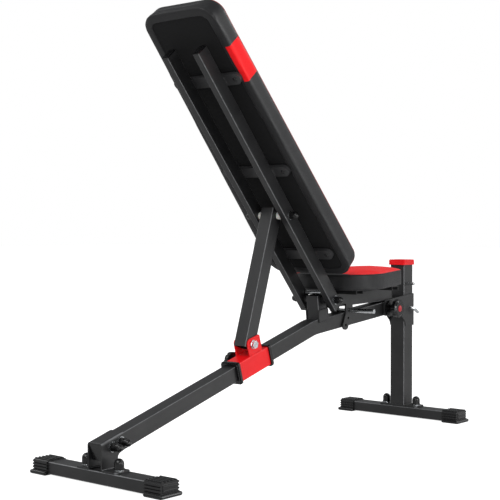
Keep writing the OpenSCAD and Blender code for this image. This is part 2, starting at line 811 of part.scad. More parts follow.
module rail_plugs() {
  color(c_plastic) back_frame() for (s = [-1, 1]) {
    translate([-rail_up - seat_gap, s * (rail_in + rail_w / 2), 0]) rotate([0, -90, 0])
      plug(rail_depth, rail_w, 2, 3, 2.5, 14);
    translate([rail_down + seat_gap, s * (rail_in + rail_w / 2), 0]) rotate([0, 90, 0])
      plug(rail_depth, rail_w, 2, 3, 2.5, 10);
  }
}

module strap_2d(d) {
  square([strap_w - 2 * d, strap_len - strap_w], center = true);
  for (s = [-1, 1]) translate([0, s * (strap_len - strap_w) / 2]) circle(d = strap_w - 2 * d);
}

// Pressed pans, open towards the pad, with a screw hole near each end
module cross_straps() {
  color(c_black) back_frame() for (k = [0 : 2])
    translate([-strap_at - k * strap_pitch, 0, rail_depth / 2 + seat_gap]) difference() {
      linear_extrude(strap_t) strap_2d(0);
      translate([0, 0, 3]) linear_extrude(strap_t) strap_2d(3);
      for (s = [-1, 1]) translate([0, s * (strap_len / 2 - 17), -1]) cylinder(r = 3.2, h = 6);
    }
}

back_pts = [[-pad_high, -pad_half_high], [-pad_low, -pad_half_low],
            [-pad_low, pad_half_low], [-pad_high, pad_half_high]];
back_r = [pad_corner, pad_corner, pad_corner, pad_corner];
module back_outline(d) { polygon(pad_pts(back_pts, back_r, d)); }

module backrest_board() {
  color(c_board) back_frame() translate([0, 0, pad_rear + vinyl_t])
    linear_extrude(board_t) back_outline(8);
}

// Foam and vinyl as one soft solid, wrapped round the back of the board
module backrest_pad() {
  color(c_vinyl) back_frame() difference() {
    translate([0, 0, pad_rear])
      loft([for (g = concat([[0, 4], [1.2, 1.2], [4, 0]], roll(pad_t, pad_roll)))
        [g[0], pad_pts(back_pts, back_r, g[1])]]);
    translate([0, 0, pad_rear - 1]) linear_extrude(vinyl_t + 2) back_outline(border);
    translate([0, 0, pad_rear + vinyl_t - seat_gap])
      linear_extrude(board_t + 2 * seat_gap) back_outline(8 - seat_gap);
  }
}

module prop_top_bolt() {
  face = rail_out + 2 * seat_gap + washer_t;
  color(c_zinc) back_frame() translate([-prop_bolt_at, 0, 0]) ycyl(bolt_r, -face - 13, face + 13);
}

module backrest_cap_nuts() {
  color(c_plastic) back_frame() translate([-prop_bolt_at, 0, 0]) for (y = [-1, 1])
    translate([0, y * (rail_out + 2 * seat_gap + washer_t), 0]) rotate([-90 * y, 0, 0]) cap_nut();
}

module backrest_washers() {
  color(c_zinc) back_frame() translate([-prop_bolt_at, 0, 0]) for (y = [-1, 1])
    translate([0, y * (rail_out + seat_gap), 0]) rotate([-90 * y, 0, 0]) washer();
}

module prop_spacers() {
  color(c_white) back_frame() translate([-prop_bolt_at, 0, 0]) both_sides() difference() {
    ycyl(10, -rail_in + seat_gap, -prop / 2 - seat_gap);
    ycyl(bolt_r + 0.1, -60, 0);
  }
}

// ---------- prop, drawn upright from the lower bolt ----------

module prop_tube() {
  low = -11.5;
  slot = 9;
  color(c_black) prop_frame() difference() {
    translate([-prop_offset, 0, low]) tube(prop, prop, 2, 3, prop_len + 14 - low);
    translate([0, 0, prop_len]) ycyl(bolt_r + fit, -40, 40);
    // short slot for the lower bolt
    for (x = [0, -slot]) translate([x, 0, 0]) ycyl(bolt_r + 3.2, -40, 40);
    translate([-slot, -40, -bolt_r - 3.2]) cube([slot, 80, 2 * bolt_r + 6.4]);
  }
}

// ---------- slider, drawn along the beam ----------

ear_out = prop / 2 + 0.6 + ear_t;

module ear_2d() {
  back = ear_bolt_u + 4 - ear_w / 2;
  top = ear_bolt_v + 17.5;
  polygon(round_pts([
    [back, sleeve / 2 - 1], [back + ear_w, sleeve / 2 - 1],
    [back + ear_w, top], [back, top]
  ], [0, 0, 5, 14]));
}

module slider_sleeve() {
  color(c_red) slider_frame() difference() {
    union() {
      translate([-sleeve_len / 2, 0, 0]) rotate([0, 90, 0])
        tube(sleeve, sleeve, sleeve_wall, 4, sleeve_len);
      both_sides() xz_plate(-ear_out, -ear_out + ear_t) ear_2d();
    }
    translate([ear_bolt_u, 0, ear_bolt_v]) ycyl(bolt_r + fit, -40, 40);
    ycyl(5.2, 10, 40);
  }
}

// Plastic guide at each end: flange outside, liner between sleeve and beam
module slider_collars() {
  inner = beam + 2 * seat_gap;
  liner = sleeve - 2 * sleeve_wall - 2 * seat_gap;
  color(c_plastic) slider_frame() for (s = [0, 1]) mirror([s, 0, 0])
    translate([sleeve_len / 2 + seat_gap, 0, 0]) rotate([0, 90, 0]) difference() {
      union() {
        linear_extrude(7) rsq(sleeve + 8, sleeve + 8, 6);
        translate([0, 0, 7]) linear_extrude(4) rsq(sleeve + 4, sleeve + 4, 5);
        translate([0, 0, -30]) linear_extrude(30.1) rsq(liner, liner, 1.5);
      }
      translate([0, 0, -31]) linear_extrude(44) rsq(inner, inner, 3);
    }
}

module prop_foot_bolt() {
  color(c_zinc) slider_frame() translate([ear_bolt_u, 0, ear_bolt_v]) {
    ycyl(bolt_r, -ear_out - 0.5, ear_out + 13);
    translate([0, -ear_out - seat_gap, 0]) rotate([90, 0, 0]) {
      cylinder(r = nut_af / 2 + 2.2, h = 1.6);
      cylinder(d = nut_af / cos(30), h = 8, $fn = 6);
    }
  }
}

module prop_foot_nut() {
  color(c_zinc) slider_frame() translate([ear_bolt_u, ear_out + seat_gap, ear_bolt_v])
    rotate([-90, 0, 0]) difference() {
      union() {
        cylinder(d = nut_af / cos(30), h = 9, $fn = 6);
        cylinder(r = nut_af / 2 - 0.8, h = 12);
      }
      translate([0, 0, -1]) cylinder(r = bolt_r + fit, h = 15);
    }
}

// ---------- seat, drawn level with the pivot at the origin ----------

function hole_at(k) = pin_arc * [cos(first_hole + k * pin_step), -sin(first_hole + k * pin_step)];

// Side plate: lug at the pivot, band along the tube, leg with the pin holes
module seat_plate_2d() {
  low = hole_at(2);
  difference() {
    union() {
      circle(12);
      polygon([[0, -12], [40, -19], [132, -20], [132, 8], [30, 11.8], [7.7, 9]]);
      polygon([[hole_at(0)[0] - 20, 0], [hole_at(0)[0] + 13, 0], [hole_at(0)[0] + 13, -56],
               [low[0] + 13.2, low[1]], [low[0] - 13.2, low[1]], [hole_at(0)[0] - 20, -44]]);
      translate(low) circle(13.5);
    }
    circle(bolt_r + fit);
    for (k = [0 : 2]) translate(hole_at(k)) circle(seat_pin_d / 2 + fit);
  }
}

module seat_frame() {
  color(c_black) seat_frame_at() {
    difference() {
      translate([26, 0, seat_tube_low + seat_tube_h / 2]) rotate([0, 90, 0])
        tube(seat_tube_h, 2 * plate_in, 2, 3, seat_tube_end - 26);
    }
    both_sides() xz_plate(-plate_out, -plate_in + 0.01) seat_plate_2d();
  }
}

module seat_tube_plug() {
  color(c_plastic) seat_frame_at()
    translate([seat_tube_end + seat_gap, 0, seat_tube_low + seat_tube_h / 2])
      rotate([0, 90, 0]) plug(seat_tube_h, 2 * plate_in, 2, 3, 3, 16);
}

// Folded channels across the tube, under the board
module seat_channels() {
  w = seat_channel_w / 2;
  l = seat_channel_len / 2;
  h = seat_channel_h - seat_gap;
  color(c_black) seat_frame_at() for (x = [seat_channel_rear, seat_channel_front])
    translate([x, 0, seat_tube_top + seat_gap]) difference() {
      translate([-w, -l, 0]) cube([2 * w, 2 * l, h]);
      translate([2.5 - w, -l - 1, -1]) cube([2 * w - 5, 2 * l + 2, h - 1.5]);
    }
}

// Seat outline: straight lines between four round corners, shrunk by d
seat_c1 = [seat_back + seat_r_back, seat_half_back - seat_r_back];
seat_c2 = [seat_front - seat_r_front, seat_half_front - seat_r_front];
seat_side = atan2(seat_c2[1] - seat_c1[1], seat_c2[0] - seat_c1[0])
  + acos((seat_r_back - seat_r_front) / norm(seat_c2 - seat_c1));
function arc(c, r, a0, a1, n = 9) =
  [for (k = [0 : n]) c + r * [cos(a0 + (a1 - a0) * k / n), sin(a0 + (a1 - a0) * k / n)]];
function seat_pts(d) =
  let (half = concat(arc(seat_c1, seat_r_back - d, 180, seat_side),
                     arc(seat_c2, seat_r_front - d, seat_side, 0)))
    concat([for (i = [0 : len(half) - 1]) [half[i][0], -half[i][1]]],
           [for (i = [len(half) - 1 : -1 : 0]) half[i]]);
module seat_outline(d) { polygon(seat_pts(d)); }

module seat_board() {
  color(c_board) seat_frame_at() translate([0, 0, seat_pad_low + vinyl_t])
    linear_extrude(board_t) seat_outline(8);
}

module seat_pad() {
  color(c_red) seat_frame_at() difference() {
    translate([0, 0, seat_pad_low]) loft([for (g = concat(
      [[0, 4], [1.2, 1.2], [4, 0], [seat_pad_t - 3, 0], [seat_pad_t, 2.5]],
      [[seat_pad_t + seat_crown * 0.45, 14], [seat_pad_t + seat_crown * 0.8, 32],
       [seat_pad_t + seat_crown, 54]])) [g[0], seat_pts(g[1])]]);
    translate([0, 0, seat_pad_low - 1]) linear_extrude(vinyl_t + 2) seat_outline(border);
    translate([0, 0, seat_pad_low + vinyl_t - seat_gap])
      linear_extrude(board_t + 2 * seat_gap) seat_outline(8 - seat_gap);
  }
}

// Pin through both side plates, lying on the beam, with a thicker handle
module seat_pin() {
  h = hole_at(0);
  color(c_zinc) seat_frame_at() translate([h[0], 0, h[1]]) {
    ycyl(seat_pin_d / 2, -plate_out - 3, plate_out + 4);
    translate([0, plate_out + 4, 0]) sphere(seat_pin_d / 2);
    ycyl(seat_pin_d / 2 + 2, -plate_out - 2 - seat_pin_handle, -plate_out - 2);
  }
}

// ---------- output ----------

rear_foot_tube();
front_foot_tube();
rear_foot_caps();
front_foot_caps();
rear_bracket();
bracket_bolts();
foot_bolts();
frame_cap_nuts();
frame_washers();
main_beam();
beam_end_plug();
pivot_post();
pivot_post_gussets();
rest_rod();
pivot_bolt();
pivot_spacers();
front_post();
front_base_plate();
front_bracket();
post_cap();
upper_pin();
lock_pin();
front_knob_base();
front_knob();
front_knob_cap();
front_plunger();
left_rail();
right_rail();
cross_straps();
rail_plugs();
backrest_board();
backrest_pad();
prop_top_bolt();
backrest_cap_nuts();
backrest_washers();
prop_spacers();
prop_tube();
slider_sleeve();
slider_collars();
prop_foot_bolt();
prop_foot_nut();
slider_knob_base();
slider_knob();
slider_knob_cap();
slider_plunger();
seat_frame();
seat_tube_plug();
seat_channels();
seat_board();
seat_pad();
seat_pin();
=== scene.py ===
import json
import math
import bmesh
import bpy
from mathutils import Matrix, Vector


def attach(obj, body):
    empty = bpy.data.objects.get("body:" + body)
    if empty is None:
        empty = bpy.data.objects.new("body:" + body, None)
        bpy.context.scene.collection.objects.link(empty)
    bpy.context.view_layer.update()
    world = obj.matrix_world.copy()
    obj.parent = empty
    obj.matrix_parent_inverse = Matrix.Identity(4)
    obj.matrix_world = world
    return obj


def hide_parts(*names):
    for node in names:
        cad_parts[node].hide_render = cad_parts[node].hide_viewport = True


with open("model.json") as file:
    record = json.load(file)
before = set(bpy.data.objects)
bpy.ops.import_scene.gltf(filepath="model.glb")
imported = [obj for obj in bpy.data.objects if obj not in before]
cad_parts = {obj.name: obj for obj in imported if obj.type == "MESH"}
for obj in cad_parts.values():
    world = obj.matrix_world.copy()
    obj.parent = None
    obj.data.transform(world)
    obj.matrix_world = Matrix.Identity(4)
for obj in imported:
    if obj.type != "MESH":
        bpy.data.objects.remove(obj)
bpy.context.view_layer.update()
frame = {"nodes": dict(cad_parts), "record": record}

scene = bpy.context.scene
millimetre = 0.001
print("frame loaded:", len(frame["nodes"]), "nodes")

bench = {
    "pivot": (0.187, 0, 0.379),  # main pivot of back and seat, metres
    "backAngle": 49, "seatTilt": 1.5,  # degrees above level
    "bend": (0.152, 0, 0.3028), "frontSlope": 5.7,  # where the beam's front length starts, and its slope
    "slider": (-0.113592, 0, 0.225638), "rearSlope": 16.2,  # middle of the slider, on the rear length
    "footX": 620,  # feet behind and ahead of the middle, mm
}


def metres(size):
    return size / 1000


def rgb(code):
    # sRGB hex to the linear values that the shaders take
    parts = [int(code[i:i + 2], 16) / 255 for i in (1, 3, 5)]
    return tuple(c / 12.92 if c <= 0.04045 else ((c + 0.055) / 1.055) ** 2.4 for c in parts) + (1.0,)


def addNode(tree, kind, values=None, **settings):
    # one node, with its settings, its fixed values and its links
    node = tree.nodes.new("ShaderNode" + kind)
    for name, value in settings.items():
        setattr(node, name, value)
    for socket, value in (values or {}).items():
        if isinstance(value, bpy.types.NodeSocket):
            tree.links.new(value, node.inputs[socket])
        else:
            node.inputs[socket].default_value = value
    return node


def startMaterial(name, values):
    material = bpy.data.materials.new(name)
    material.use_nodes = True
    tree = material.node_tree
    shader = tree.nodes["Principled BSDF"]
    for socket, value in values.items():
        shader.inputs[socket].default_value = value
    place = addNode(tree, "TexCoord").outputs["Object"]
    return material, tree, shader, place


def noiseAt(tree, place, size, detail=2.0, roughness=0.5):
    # noise whose blotches are about size metres across
    return addNode(tree, "TexNoise", {"Vector": place, "Scale": 1 / size, "Detail": detail,
                                      "Roughness": roughness}).outputs["Fac"]


def varyColour(tree, shader, fac, low, high, spread=(0.35, 0.65)):
    # base colour drifts between two hex colours
    step = addNode(tree, "MapRange", {"Value": fac, "From Min": spread[0], "From Max": spread[1]})
    mix = addNode(tree, "Mix", {0: step.outputs[0], 6: rgb(low), 7: rgb(high)}, data_type="RGBA")
    tree.links.new(mix.outputs[2], shader.inputs["Base Color"])


def varyRoughness(tree, shader, fac, low, high, spread=(0.3, 0.7)):
    step = addNode(tree, "MapRange", {"Value": fac, "From Min": spread[0], "From Max": spread[1],
                                      "To Min": low, "To Max": high})
    tree.links.new(step.outputs[0], shader.inputs["Roughness"])


def addBump(tree, shader, height, depth, strength=1.0, under=None):
    # height is 0 to 1, depth is the relief in metres
    values = {"Height": height, "Distance": depth, "Strength": strength}
    if under is not None:
        values["Normal"] = under
    bump = addNode(tree, "Bump", values)
    tree.links.new(bump.outputs[0], shader.inputs["Normal"])
    return bump.outputs[0]


powderCoat = {
    "grain": 1.7 * millimetre, "relief": 0.09 * millimetre,  # real grain is 0.3 mm, drawn coarser to show
    "patch": 60 * millimetre,  # slow drift of the colour
    "highlightPatch": 9 * millimetre, "highlightPatchSpread": (0.3, 0.6), "highlightShare": (0.55, 1.0),  # the painted corner highlight, uneven in patches of this size
    "cornerFrom": 0.45, "cornerTo": 0.9,  # how far round a corner the painted highlight starts and is full
}


def cornerHighlightMask(tree, run):
    # 1 on the rounded corners of a tube, 0 on its flats: where the painted highlight goes; a "cross" tube
    # runs along y
    if run == "none":
        return 0.0
    normal = addNode(tree, "TexCoord").outputs["Normal"]
    x, y, z = addNode(tree, "SeparateXYZ", {0: normal}).outputs
    if run == "cross":
        turn = addNode(tree, "Math", {0: x, 1: z}, operation="MULTIPLY").outputs[0]
        square = addNode(tree, "Math", {0: turn, 1: turn}, operation="MULTIPLY").outputs[0]
    else:
        side = addNode(tree, "Math", {0: y, 1: y}, operation="MULTIPLY").outputs[0]
        rest = addNode(tree, "Math", {0: 1.0, 1: side}, operation="SUBTRACT").outputs[0]
        square = addNode(tree, "Math", {0: side, 1: rest}, operation="MULTIPLY").outputs[0]
    # the product of two squares that add up to 1 is 1/4 at most, half way round the corner
    return addNode(tree, "MapRange", {"Value": square, "From Min": powderCoat["cornerFrom"] / 4,
                                      "From Max": powderCoat["cornerTo"] / 4}).outputs[0]


def powderCoatFinish(name, low, high, cornerHighlight, rough, values=None, run="long"):
    # sprayed polyester powder over steel: fine orange-peel grain, soft sheen;
    # rounded corners get a pale painted highlight, standing in for light that catches them
    size = powderCoat
    material, tree, shader, place = startMaterial(name, {"IOR": 1.5, **(values or {})})
    varyColour(tree, shader, noiseAt(tree, place, size["patch"], 3), low, high)
    flat = shader.inputs["Base Color"].links[0].from_socket
    # painted highlight: the corners are mixed towards a pale colour, unevenly in patches
    mask = cornerHighlightMask(tree, run)
    (patchFrom, patchTo), (least, most) = size["highlightPatchSpread"], size["highlightShare"]
    unevenHighlight = addNode(tree, "MapRange", {"Value": noiseAt(tree, place, size["highlightPatch"], 2), "From Min": patchFrom,
                                      "From Max": patchTo, "To Min": least, "To Max": most}).outputs[0]
    share = addNode(tree, "Math", {0: mask, 1: unevenHighlight}, operation="MULTIPLY").outputs[0]
    mix = addNode(tree, "Mix", {0: share, 6: flat, 7: rgb(cornerHighlight)}, data_type="RGBA")
    tree.links.new(mix.outputs[2], shader.inputs["Base Color"])
    grain = noiseAt(tree, place, size["grain"], 2, 0.6)
    varyRoughness(tree, shader, grain, rough - 0.06, rough + 0.08)
    addBump(tree, shader, grain, size["relief"], 0.8)
    return material


mouldedPlastic = {"patch": 25 * millimetre, "texture": 1.1 * millimetre, "relief": 0.03 * millimetre}


def mouldedPlasticFinish(name, low, high, rough, values=None):
    # injection-moulded part: even colour, faint spark-eroded texture, soft gloss
    size = mouldedPlastic
    material, tree, shader, place = startMaterial(name, {"IOR": 1.49, **(values or {})})
    varyColour(tree, shader, noiseAt(tree, place, size["patch"], 2), low, high)
    texture = noiseAt(tree, place, size["texture"], 1)
    varyRoughness(tree, shader, texture, rough - 0.05, rough + 0.06)
    addBump(tree, shader, texture, size["relief"], 0.6)
    return material


zincPlate = {"patch": 7 * millimetre, "marks": 2.2 * millimetre, "squeeze": 9.0, "relief": 0.015 * millimetre}


def zincFinish(name, low, high, rough):
    # bright zinc electroplate: silvery metal, slight blue cast, fine turning marks
    size = zincPlate
    material, tree, shader, place = startMaterial(name, {"Metallic": 1.0})
    varyColour(tree, shader, noiseAt(tree, place, size["patch"], 3), low, high)
    marks = addNode(tree, "Mapping", {"Vector": place, "Scale": (1.0, size["squeeze"], 1.0)}).outputs[0]
    fine = noiseAt(tree, marks, size["marks"], 3, 0.6)
    varyRoughness(tree, shader, fine, rough - 0.07, rough + 0.1)
    addBump(tree, shader, fine, size["relief"], 0.7)
    return material


vinyl = {
    "cell": 2.4 * millimetre, "relief": 0.16 * millimetre,  # real pebbles are 1 mm, drawn coarser to show
    "warp": 6 * millimetre, "shift": 1.6 * millimetre,  # keeps the pebbles out of line
    "slack": 42 * millimetre, "slackRelief": 0.7 * millimetre,
    "patch": 70 * millimetre,
}


def vinylFinish(name, low, high, rough, specular=0.5):
    # embossed PVC leathercloth stretched over foam: pebbled grain, low sheen, slight slack
    size = vinyl
    material, tree, shader, place = startMaterial(
        name, {"IOR": 1.52, "Specular IOR Level": specular, "Sheen Weight": 0.02, "Sheen Roughness": 0.4})
    varyColour(tree, shader, noiseAt(tree, place, size["patch"], 3), low, high)
    warp = addNode(tree, "TexNoise", {"Vector": place, "Scale": 1 / size["warp"], "Detail": 1.0})
    shift = addNode(tree, "VectorMath", {0: warp.outputs["Color"], 1: (size["shift"],) * 3},
                    operation="MULTIPLY")
    bent = addNode(tree, "VectorMath", {0: place, 1: shift.outputs[0]}, operation="ADD")
    cells = addNode(tree, "TexVoronoi", {"Vector": bent.outputs[0], "Scale": 1 / size["cell"]}, feature="F1")
    slack = noiseAt(tree, place, size["slack"], 1)
    under = addBump(tree, shader, slack, size["slackRelief"], 0.5)
    addBump(tree, shader, cells.outputs["Distance"], size["relief"], 0.55, under)
    varyRoughness(tree, shader, cells.outputs["Distance"], rough - 0.04, rough + 0.1)
    return material


dustCover = {"fibre": 3 * millimetre, "points": 18 * millimetre, "relief": 0.25 * millimetre}


def dustCoverFinish(name, low, high):
    # spunbonded polypropylene stapled over plywood: matt cloth with a diamond of welded points
    size = dustCover
    material, tree, shader, place = startMaterial(name, {"Roughness": 0.92, "IOR": 1.4})
    fibres = noiseAt(tree, place, size["fibre"], 4, 0.7)
    varyColour(tree, shader, fibres, low, high)
    upright = (0, math.radians(-bench["backAngle"]), 0)
    turned = addNode(tree, "Mapping", {"Vector": place, "Rotation": upright}).outputs[0]
    across = addNode(tree, "TexWave", {"Vector": turned, "Scale": 1 / size["points"], "Distortion": 1.2},
                     wave_type="BANDS", bands_direction="DIAGONAL")
    weave = addNode(tree, "Math", {0: across.outputs["Fac"], 1: fibres}, operation="MULTIPLY")
    addBump(tree, shader, weave.outputs[0], size["relief"], 0.7)
    return material


# the third colour of each powder coat is its painted corner highlight; where run is "none" it goes unused
finishes = {
    "black_powder_coat": powderCoatFinish("satinPowderCoatBlack", "#19191a", "#202021", "#6a6b6d", 0.4),
    "red_powder_coat": powderCoatFinish("glossPowderCoatRed", "#e30f16", "#ec1219", "#f4474b", 0.33,
                                        {"Specular IOR Level": 0.3}),
    "black_plastic": mouldedPlasticFinish("mouldedPolypropyleneBlack", "#0b0b0c", "#101011", 0.24),
    "red_plastic": mouldedPlasticFinish("mouldedPolypropyleneRed", "#dc0d16", "#e6141c", 0.34,
                                        {"Specular IOR Level": 0.3}),
    "zinc_plate": zincFinish("brightZincPlate", "#c4c8cb", "#e2e4e5", 0.22),
    "black_vinyl": vinylFinish("embossedVinylBlack", "#18181a", "#1f1f20", 0.46, 0.34),
    "red_vinyl": vinylFinish("embossedVinylRed", "#f01016", "#f7161c", 0.5, 0.15),
    "white_nylon": mouldedPlasticFinish("turnedNylonWhite", "#e9e9e4", "#f4f4f0", 0.4,
                                        {"Subsurface Weight": 0.12, "Subsurface Scale": 0.003}),
    "covered_plywood": dustCoverFinish("spunbondDustCover", "#0d0d0e", "#131314"),
}
# foot tubes run along y: the pale colour is a painted highlight on their corners
crossTubeCoat = powderCoatFinish("satinPowderCoatBlackCross", "#19191a", "#202021", "#737476", 0.4,
                                 run="cross")
pressedCoat = powderCoatFinish("satinPowderCoatBlackPressed", "#2b2b2c", "#323233", "#3c3c3e", 0.36,
                               run="none")
weldCoat = powderCoatFinish("satinPowderCoatBlackWeld", "#1d1d1e", "#29292a", "#3c3c3e", 0.3, run="none")
pipingCrimson = vinylFinish("pipingVinylCrimson", "#8c0c12", "#9a0e15", 0.5, 0.15)
knobCapRed = mouldedPlasticFinish("mouldedPolypropyleneCrimson", "#a5101f", "#b01424", 0.3)
darkSpacer = mouldedPlasticFinish("turnedNylonBlack", "#121213", "#18181a", 0.42)
special = {  # nodes whose finish differs a little from the rest of their slot
    "rear_foot_tube": crossTubeCoat, "front_foot_tube": crossTubeCoat, "cross_straps": pressedCoat,
    "front_knob_cap": knobCapRed, "slider_knob_cap": knobCapRed, "pivot_spacers": darkSpacer,
}

slotOf = {part["node"]: part["material_slot"] for part in frame["record"]["subparts"]}
for nodeName, node in frame["nodes"].items():
    node.data.materials.clear()
    node.data.materials.append(special.get(nodeName) or finishes[slotOf[nodeName]])
print("finishes on", len(slotOf), "nodes")


def tilted(origin, degrees):
    # a flat frame set at its place on the bench; positive tips its x downwards
    return Matrix.Translation(origin) @ Matrix.Rotation(math.radians(degrees), 4, "Y")


backPlace = tilted(bench["pivot"], bench["backAngle"])  # x runs down the back, z out of its front
seatPlace = tilted(bench["pivot"], -bench["seatTilt"])


def finishPiece(name, shell, materials, body, place=None, smooth=True, rounds=0):
    # bmesh in its own flat frame to a piece that lies in the shared frame
    mesh = bpy.data.meshes.new(name)
    if place is not None:
        bmesh.ops.transform(shell, matrix=place, verts=shell.verts)
    shell.to_mesh(mesh)
    shell.free()
    for material in materials:
        mesh.materials.append(material)
    for face in mesh.polygons:
        face.use_smooth = smooth
    piece = bpy.data.objects.new(name, mesh)
    scene.collection.objects.link(piece)
    if rounds:
        finer = piece.modifiers.new("finer", "SUBSURF")
        finer.levels = finer.render_levels = rounds
    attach(piece, body)
    return piece


def asModified(helper):
    # the mesh that a helper object's modifiers or bevel make; the helper goes
    mesh = bpy.data.meshes.new_from_object(helper.evaluated_get(bpy.context.evaluated_depsgraph_get()))
    bpy.data.objects.remove(helper)
    return mesh


def roundPostHull(posts, low, high):
    # straight-sided block whose corners are upright round posts
    shell = bmesh.new()
    for x, y, radius in posts:
        for z in (low, high):
            bmesh.ops.create_circle(shell, segments=72, radius=radius, matrix=Matrix.Translation((x, y, z)))
    bmesh.ops.convex_hull(shell, input=shell.verts)
    bmesh.ops.delete(shell, geom=[v for v in shell.verts if not v.link_faces], context="VERTS")
    bmesh.ops.delete(shell, geom=[e for e in shell.edges if not e.link_faces], context="EDGES")
    bmesh.ops.dissolve_limit(shell, angle_limit=math.radians(0.5), verts=shell.verts, edges=shell.edges)
    bmesh.ops.recalc_face_normals(shell, faces=shell.faces)
    return shell


def rollEdges(shell, edges, radius, segments):
    bmesh.ops.bevel(shell, geom=edges, offset=radius, offset_type="OFFSET", segments=segments,
                    profile=0.5, affect="EDGES", material=-1, clamp_overlap=True)


def edgesAt(shell, axis, level, near=1e-5):
    # the edges that lie in one plane across an axis, within near metres
    return [e for e in shell.edges if all(abs(v.co[axis] - level) < near for v in e.verts)]


def evenMesh(shell, voxel):
    # the same closed form in even quads
    mesh = bpy.data.meshes.new("foam")
    shell.to_mesh(mesh)
    shell.free()
    block = bpy.data.objects.new("foam", mesh)
    scene.collection.objects.link(block)
    remesh = block.modifiers.new("even", "REMESH")
    remesh.mode = "VOXEL"
    remesh.voxel_size = voxel
    return asModified(block)


coverCloth = {"stretch": 12, "shear": 5, "bending": 0.8, "pressure": 5, "frames": 20}  # taut vinyl over foam


def swell(even, held, cap):
    # foam presses the cover outwards; held(co) is true where it is sewn or stapled
    cover = bpy.data.objects.new("cover", even)
    scene.collection.objects.link(cover)
    rest = [v.co.copy() for v in even.vertices]
    group = cover.vertex_groups.new(name="held")
    group.add([i for i, co in enumerate(rest) if held(co)], 1.0, "REPLACE")
    cloth = cover.modifiers.new("swell", "CLOTH").settings
    cloth.vertex_group_mass = "held"
    cloth.use_pressure = True
    cloth.uniform_pressure_force = coverCloth["pressure"]
    cloth.tension_stiffness = cloth.compression_stiffness = coverCloth["stretch"]
    cloth.shear_stiffness = coverCloth["shear"]
    cloth.bending_stiffness = coverCloth["bending"]
    cloth.effector_weights.gravity = 0
    for frameNumber in range(1, coverCloth["frames"] + 1):
        scene.frame_set(frameNumber)
    swollen = cover.evaluated_get(bpy.context.evaluated_depsgraph_get()).data
    for vertex, before in zip(even.vertices, rest):
        move = swollen.vertices[vertex.index].co - before
        if move.length > cap:
            move *= cap / move.length
        vertex.co = before + move
    scene.frame_set(1)
    bpy.data.objects.remove(cover)


def coverShell(even, rounds):
    # the cover again as a bmesh, its small steps smoothed out
    shell = bmesh.new()
    shell.from_mesh(even)
    for _ in range(rounds):
        bmesh.ops.smooth_vert(shell, verts=shell.verts, factor=0.5,
                              use_axis_x=True, use_axis_y=True, use_axis_z=True)
    return shell


def sweepPiece(name, routes, radius, material, body, ripple=0.0, closed=False, sides=2, taper=0.55):
    # round bead or welt along routes of points; ripple makes the scales of a weld, taper thins its ends
    data = bpy.data.curves.new(name, "CURVE")
    data.dimensions = "3D"
    data.bevel_depth, data.bevel_resolution, data.use_fill_caps = radius, sides, True
    for points in routes:
        line = data.splines.new("POLY")
        line.points.add(len(points) - 1)
        line.use_cyclic_u = closed
        for index, (point, co) in enumerate(zip(line.points, points)):
            point.co = (*co, 1.0)
            end = taper if not closed and index in (0, len(points) - 1) else 1.0
            point.radius = end * (1 - ripple * (index % 2))
    helper = bpy.data.objects.new(name + "Route", data)
    scene.collection.objects.link(helper)
    shell = bmesh.new()
    shell.from_mesh(asModified(helper))
    bmesh.ops.remove_doubles(shell, verts=shell.verts, dist=1e-6)
    bmesh.ops.recalc_face_normals(shell, faces=shell.faces)
    return finishPiece(name, shell, [material], body)


def seamRoute(edges):
    # ordered points of the closed line of edges that a seam cut leaves
    links = {}
    for edge in edges:
        a, b = edge.verts
        links.setdefault(a, []).append(b)
        links.setdefault(b, []).append(a)
    start = max(links, key=lambda v: v.co.x)
    route, before, here = [start], None, start
    while True:
        ahead = [v for v in links[here] if v is not before]
        before, here = here, ahead[0]
        if here is start:
            return [v.co.copy() for v in route]
        route.append(here)


def evenRoute(points, step):
    # the closed line again, in equal steps
    ring = points + [points[0]]
    lengths = [(b - a).length for a, b in zip(ring, ring[1:])]
    count = max(int(sum(lengths) / step), 8)
    stride = sum(lengths) / count
    route, index, passed = [], 0, 0.0
    for k in range(count):
        while index < len(lengths) - 1 and passed + lengths[index] < k * stride:
            passed += lengths[index]
            index += 1
        route.append(ring[index].lerp(ring[index + 1], (k * stride - passed) / max(lengths[index], 1e-9)))
    return route


def cutPlane(shell, point, normal, **settings):
    # new edges where a plane crosses the cover, so that a seam has a clean line
    return bmesh.ops.bisect_plane(shell, geom=shell.verts[:] + shell.edges[:] + shell.faces[:], dist=1e-5,
                                  plane_co=point, plane_no=normal, **settings)["geom_cut"]


turnUnder = {  # mm; the cover's fold onto the board, each step so far inwards and so far outwards
    "above": 4.2,  # it starts this far above the underside of the cushion
    "lip": ((0.5, 2.0), (1.2, 1.3), (1.3, -0.7), (2.0, 1.1), (3.0, 0.4)),
    "tuck": ((1.0, -0.8), (0, -2.8)),
    "merge": 1.2,  # the small faces that the cut leaves
}


